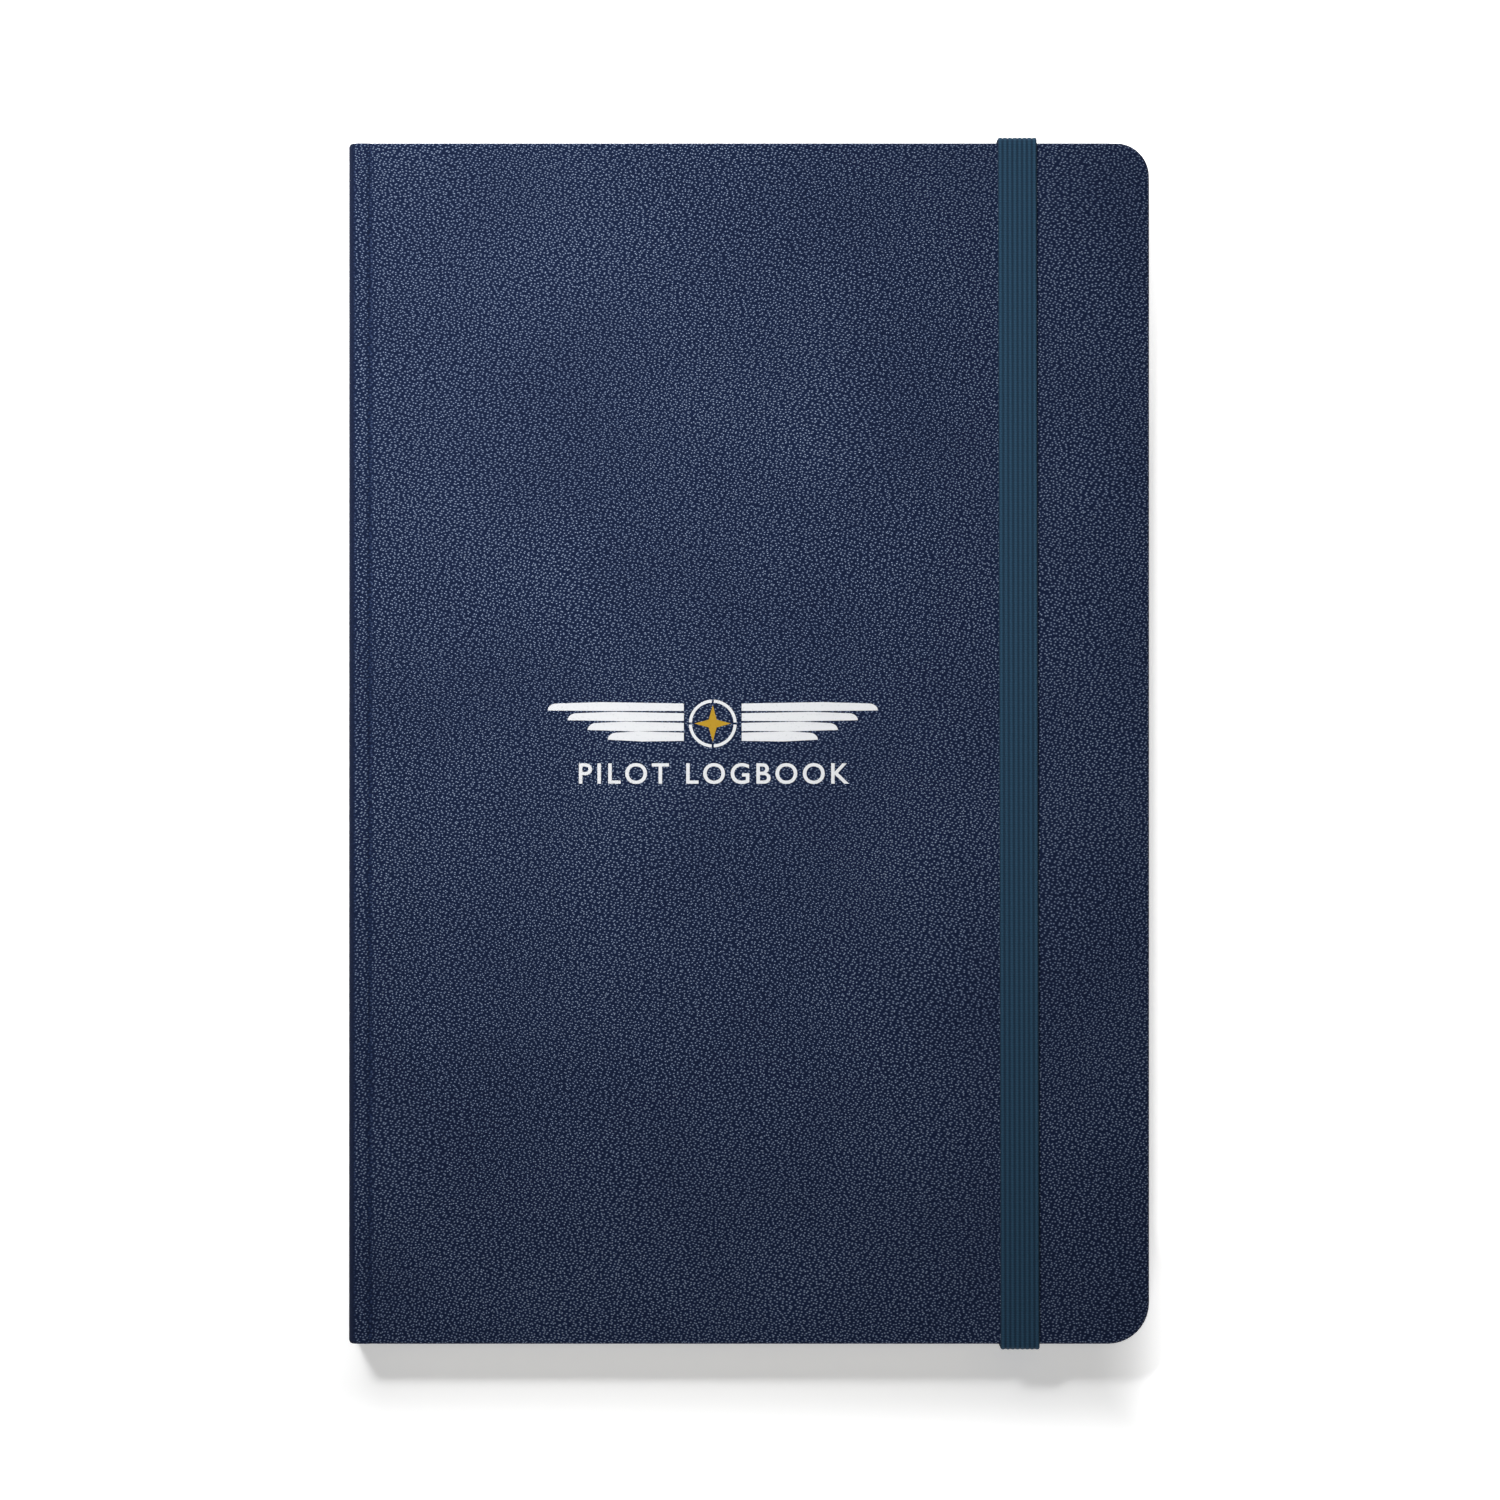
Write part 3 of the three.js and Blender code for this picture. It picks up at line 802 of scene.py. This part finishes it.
def make_title():
    wings = [feather(index, side) for index in range(4) for side in (-1, 1)]
    ink_object("title_wings", wings + ring_parts(4.3, 3.75), WHITE_INK)
    ink_object("title_star", [compass_star(3.3, 1.0)], GOLD_INK)
    make_words()


make_title()


# ---- elastic band ----
def band_section():
    """(across, up) points round the strap: ribs above and below, rounded selvedges."""
    half = (SPAN_HIGH[2] - SPAN_LOW[2]) / 2
    steps = 6 * BAND_RIBS
    upper = []
    for i in range(steps + 1):
        u = i / steps
        rib = abs(math.sin(math.pi * BAND_RIBS * u))
        edge = min(u, 1 - u) * BAND_RIBS
        lift = half * (0.62 + 0.38 * rib) if edge > 0.02 else half * 0.35
        upper.append(((u - 0.5) * BAND_WIDTH, lift))
    lower = [(x, -y) for x, y in reversed(upper)]
    return upper + lower


def band_strip(name, path, weave_runs_on):
    """A strap along path, a list of (middle place, direction). Where the weave runs on from strip to strip,
    its coordinate along the strap is the place's y plus z, and elsewhere it is the strip's own length."""
    section = band_section()
    count = len(section)
    verts = []
    flat = []
    run = 0.0
    for k, (place, along) in enumerate(path):
        if k:
            run += (Vector(place) - Vector(path[k - 1][0])).length
        up = Vector((1, 0, 0)).cross(Vector(along)).normalized()
        for across, lift in section:
            verts.append(Vector(place) + Vector((across, 0, 0)) + up * lift)
            flat.append((across + BAND_WIDTH / 2, place[1] + place[2] if weave_runs_on else run))
    faces = []
    for k in range(len(path) - 1):
        for i in range(count):
            a = k * count + i
            b = k * count + (i + 1) % count
            faces.append((a, b, b + count, a + count))
    faces.append(tuple(reversed(range(count))))
    faces.append(tuple(range((len(path) - 1) * count, len(path) * count)))
    obj = new_mesh_object(name, verts, faces, ELASTIC, 60)
    add_uv(obj, "weave", flat)
    face_outward(obj)
    return obj


def rounded_path(points, radius, spacing=1.2 * MM):
    """Places and directions along corner points (y, z), with each corner rounded to radius."""
    corner_steps = 6
    corners = [Vector(p) for p in points]
    dense = [corners[0]]
    for before, corner, after in zip(corners, corners[1:], corners[2:]):
        into = (corner - before).normalized()
        out = (after - corner).normalized()
        for i in range(corner_steps + 1):
            t = i / corner_steps
            a = corner - into * radius * (1 - t)
            b = corner + out * radius * t
            dense.append(a.lerp(b, t))
    dense.append(corners[-1])
    places = [dense[0]]
    for a, b in zip(dense, dense[1:]):
        pieces = max(1, int((b - a).length / spacing))
        places += [a.lerp(b, i / pieces) for i in range(1, pieces + 1)]
    path = []
    for i, place in enumerate(places):
        ahead = places[min(i + 1, len(places) - 1)] - places[max(i - 1, 0)]
        path.append(((band_x(place[0]), place[0], place[1]), (0, ahead[0], ahead[1])))
    return path


def make_band():
    """At each end a tab, fixed to the back cover, goes in through the slot, and a rising end and half of the
    span run on from it to the span's middle."""
    half = (SPAN_HIGH[2] - SPAN_LOW[2]) / 2
    top = SPAN_LOW[2] + half
    edge_y = END_HIGH[1] - half
    low = TAB_LOW[2] + half
    inside = TAB_HIGH[2] - half
    turn_y = edge_y - BAND_TURN
    for side, word in ((1, "head"), (-1, "tail")):
        tab = [(side * TAB_LOW[1], inside), (side * BAND_SLOT_Y, inside), (side * BAND_SLOT_Y, low)]
        tab += [(side * edge_y, low), (side * edge_y, low + BAND_RISE)]
        fixed = band_strip(f"closure_band_{word}_tab", rounded_path(tab, radius=0.75 * MM), False)
        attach(fixed, "back_cover")
        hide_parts(f"band_{word}_tab")
        rise = [(side * edge_y, low + BAND_RISE), (side * edge_y, top), (side * turn_y, top)]
        end = band_strip(f"closure_band_{word}_end", rounded_path(rise, radius=0.85 * MM), True)
        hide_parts(f"band_{word}_end")
        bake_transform(end)
        over = [(side * turn_y, top), (0.0, top)]
        span = band_strip(f"closure_band_{word}_half", rounded_path(over, radius=0, spacing=2 * MM), True)
        if side > 0:
            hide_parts("band_front_span")
        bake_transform(span)


make_band()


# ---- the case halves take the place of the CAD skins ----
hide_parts("front_cover_skin", "front_joint_skin", "spine_skin")
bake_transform(front_case)
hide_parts("back_cover_skin", "back_joint_skin")
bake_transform(back_case)


# ---- paper ----
def sheet_columns(fold_x, right):
    """x places from the fold to the fore-edge, close together near the fold and round the corners."""
    fan_steps = 14
    corner_steps = 8
    places = [fold_x + FAN * 1.4 * i / fan_steps for i in range(fan_steps + 1)]
    places.append((fold_x + right) / 2)
    for i in range(corner_steps + 1):
        angle = math.pi / 2 * i / corner_steps
        places.append(right - PAGE_CORNER_R + PAGE_CORNER_R * math.sin(angle))
    return places


def sheet_extent(x, right, half):
    """Half of the sheet's height at x, less where its corners are rounded."""
    centre = right - PAGE_CORNER_R
    if x <= centre:
        return half
    inside = max(0.0, PAGE_CORNER_R ** 2 - (x - centre) ** 2)
    return half - PAGE_CORNER_R + math.sqrt(inside)


def add_sheet(verts, faces, uvs, route, half, right, thick):
    """A folded or single sheet: route is a list of (x, z, normal) from one edge to the other."""
    base = len(verts)
    for x, z, out in route:
        extent = sheet_extent(x, right, half)
        for sign in (1, -1):
            px = x + out[0] * sign * thick / 2
            pz = z + out[1] * sign * thick / 2
            for y in (-extent, extent):
                verts.append((px, y, pz))
                uvs.append((x - FOLD_X, y + half))
    last = len(route) - 1
    for k in range(last):
        a = base + 4 * k
        b = a + 4
        faces.append((a, b, b + 1, a + 1))
        faces.append((a + 2, a + 3, b + 3, b + 2))
        faces.append((a + 1, b + 1, b + 3, a + 3))
        faces.append((a, a + 2, b + 2, b))
    for k, order in ((0, (0, 1, 3, 2)), (last, (0, 2, 3, 1))):
        faces.append(tuple(base + 4 * k + i for i in order))


def signature_mesh(name, low, high):
    """Four nested folded sheets, so eight leaves, with small differences at the trimmed edges."""
    verts = []
    faces = []
    uvs = []
    bend_steps = 6
    pitch = (high[2] - low[2]) / LEAVES
    middle = (low[2] + high[2]) / 2
    for nest in range(SHEETS):
        radius = pitch * (SHEETS - 0.5 - nest)
        fold = low[0] + radius + 0.03 * MM * nest
        trim = high[0] - random.uniform(0.0, 0.06) * MM
        upper = [(x, middle + radius, (0, 1)) for x in reversed(sheet_columns(fold, trim))]
        bend = []
        for i in range(1, bend_steps):
            angle = math.pi / 2 + math.pi * i / bend_steps
            out = (math.cos(angle), math.sin(angle))
            bend.append((fold + radius * out[0], middle + radius * out[1], out))
        trim_low = high[0] - random.uniform(0.0, 0.06) * MM
        lower = [(x, middle - radius, (0, -1)) for x in sheet_columns(fold, trim_low)]
        half = high[1] - random.uniform(0.0, 0.05) * MM
        add_sheet(verts, faces, uvs, upper + bend + lower, half, high[0], LEAF)
    obj = new_mesh_object(name, verts, faces, PAGE, 30)
    add_uv(obj, "page", uvs)
    face_outward(obj)
    return obj


def fan_from_spine(obj):
    """Bakes the sheet's place into its mesh."""
    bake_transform(obj)


def make_pages():
    for number in SIGNATURES:
        node = f"signature_{number:02d}"
        low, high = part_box(node)
        obj = signature_mesh(f"pages_{number:02d}", low, high)
        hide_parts(node)
        fan_from_spine(obj)


def make_flyleaf(word):
    low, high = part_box(f"{word}_flyleaf")
    verts = []
    faces = []
    z = (low[2] + high[2]) / 2
    route = [(x, z, (0, 1)) for x in sheet_columns(low[0], high[0])]
    add_sheet(verts, faces, [], route, high[1], high[0], high[2] - low[2])
    obj = new_mesh_object(f"{word}_flyleaf_sheet", verts, faces, ENDPAPER, 30)
    face_outward(obj)
    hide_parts(f"{word}_flyleaf")
    fan_from_spine(obj)


def make_threads():
    """Two-ply thread in each signature's fold: the lobes of its section turn as it runs from tail to head."""
    rings = 180
    sides = 8
    rings_in_turn = 9
    core = 0.11 * MM
    lobe = 0.045 * MM
    for number in SIGNATURES:
        low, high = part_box(f"sewing_thread_{number:02d}")
        centre = ((low[0] + high[0]) / 2, (low[2] + high[2]) / 2)
        verts = []
        faces = []
        for k in range(rings + 1):
            y = low[1] + (high[1] - low[1]) * k / rings
            twist = 2 * math.pi * k / rings_in_turn
            for i in range(sides):
                angle = 2 * math.pi * i / sides
                reach = core + lobe * abs(math.cos(angle - twist))
                verts.append((centre[0] + reach * math.cos(angle), y, centre[1] + reach * math.sin(angle)))
        for k in range(rings):
            for i in range(sides):
                a = k * sides + i
                b = k * sides + (i + 1) % sides
                faces.append((a, b, b + sides, a + sides))
        faces.append(tuple(range(sides)))
        faces.append(tuple(rings * sides + i for i in reversed(range(sides))))
        obj = new_mesh_object(f"twisted_thread_{number:02d}", verts, faces, THREAD, 60)
        face_outward(obj)
        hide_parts(f"sewing_thread_{number:02d}")
        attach(obj, "spine")


make_pages()
make_flyleaf("front")
make_flyleaf("back")
make_threads()


# ---- CAD pieces that keep their shape ----
def dress(node, material):
    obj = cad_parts[node]
    obj.data.materials.clear()
    obj.data.materials.append(material)


for carried in ("front_pastedown", "back_pastedown"):
    dress(carried, ENDPAPER)
for carried in ("front_board", "back_board", "spine_stiffener"):
    dress(carried, BOARD)
for carried in ("spine_mull", "mull_front_flap", "mull_back_flap"):
    dress(carried, GAUZE)
dress("spine_liner", KRAFT)


# ---- camera, floor and light ----
def make_camera():
    """A long lens straight above the cover, as far off as shows the book at the right size."""
    data = bpy.data.cameras.new("camera")
    data.lens = 150
    data.sensor_width = 36
    obj = new_object("camera", data)
    obj.location = (CAMERA_X, CAMERA_Y, TOP + CAMERA_RISE)
    bpy.context.scene.camera = obj


def floor_material():
    """A white sweep with painted light: it glows a little, least in the strip off the tail where the book's
    shadow falls, so that the rest of the floor stays white.
    """
    n = Nodes("pale_floor")
    x, y, _ = n.axes(n.position())
    past_fore_edge = n.range(x, RIGHT - 1 * MM, RIGHT + 4 * MM, 0, 1, True)
    above_tail = n.range(y, -HALF_HEIGHT - 2 * MM, -HALF_HEIGHT + 23 * MM, 0, 1, True)
    right = n.range(x, RIGHT - 10 * MM, RIGHT + 13 * MM, 0, 1, True)
    left = n.range(x, -RIGHT - 13 * MM, -RIGHT - 58 * MM, 0, 1, True)
    below = n.range(y, -HALF_HEIGHT - 8 * MM, -HALF_HEIGHT - 32 * MM, 0, 1, True)
    to_head = n.range(y, 0.0, 100 * MM)
    lit = n.math("MULTIPLY", past_fore_edge, above_tail)
    for part in (right, left, below, to_head):
        lit = n.math("MAXIMUM", lit, part)
    n.shader.inputs["Emission Color"].default_value = (1, 1, 1, 1)
    n.link(n.range(lit, 0, 1, 0.27, 0.90), n.shader.inputs["Emission Strength"])
    return n.finish((0.97, 0.97, 0.97, 1), 0.9, None, 0.1)


def make_floor():
    reach = 3
    corners = [(-reach, -reach, 0), (reach, -reach, 0), (reach, reach, 0), (-reach, reach, 0)]
    floor = new_mesh_object("studio_floor", corners, [(0, 1, 2, 3)], floor_material())
    floor.location.z = -0.1 * MM


def place_light(data, name, place, aim):
    obj = new_object(name, data)
    obj.location = place
    obj.rotation_euler = (Vector(aim) - Vector(place)).to_track_quat("-Z", "Y").to_euler()


def area_light(name, place, aim, size, watts):
    data = bpy.data.lights.new(name, "AREA")
    data.shape = "DISK"
    data.size = size
    data.energy = watts
    place_light(data, name, place, aim)


def spot_light(name, place, aim, cone_degrees, size, watts):
    data = bpy.data.lights.new(name, "SPOT")
    data.spot_size = math.radians(cone_degrees)
    data.spot_blend = 1.0
    data.shadow_soft_size = size
    data.energy = watts
    place_light(data, name, place, aim)


def make_light():
    middle = (0, 0, 0)
    area_light("head", (-0.12, 0.85, 0.85), middle, size=0.8, watts=4.9)
    spot_light("upper_left", (-0.30, 0.50, 0.90), (-0.066, 0.080, 0), cone_degrees=21.0, size=0.14, watts=76)
    area_light("front", (-0.35, -1.3, 1.0), middle, size=1.0, watts=8.8)
    world = bpy.data.worlds.new("studio")
    world.use_nodes = True
    background = world.node_tree.nodes["Background"]
    background.inputs["Color"].default_value = (1, 1, 1, 1)
    background.inputs["Strength"].default_value = 0.055
    bpy.context.scene.world = world
    bpy.context.scene.view_settings.view_transform = "Standard"


make_camera()
make_floor()
make_light()
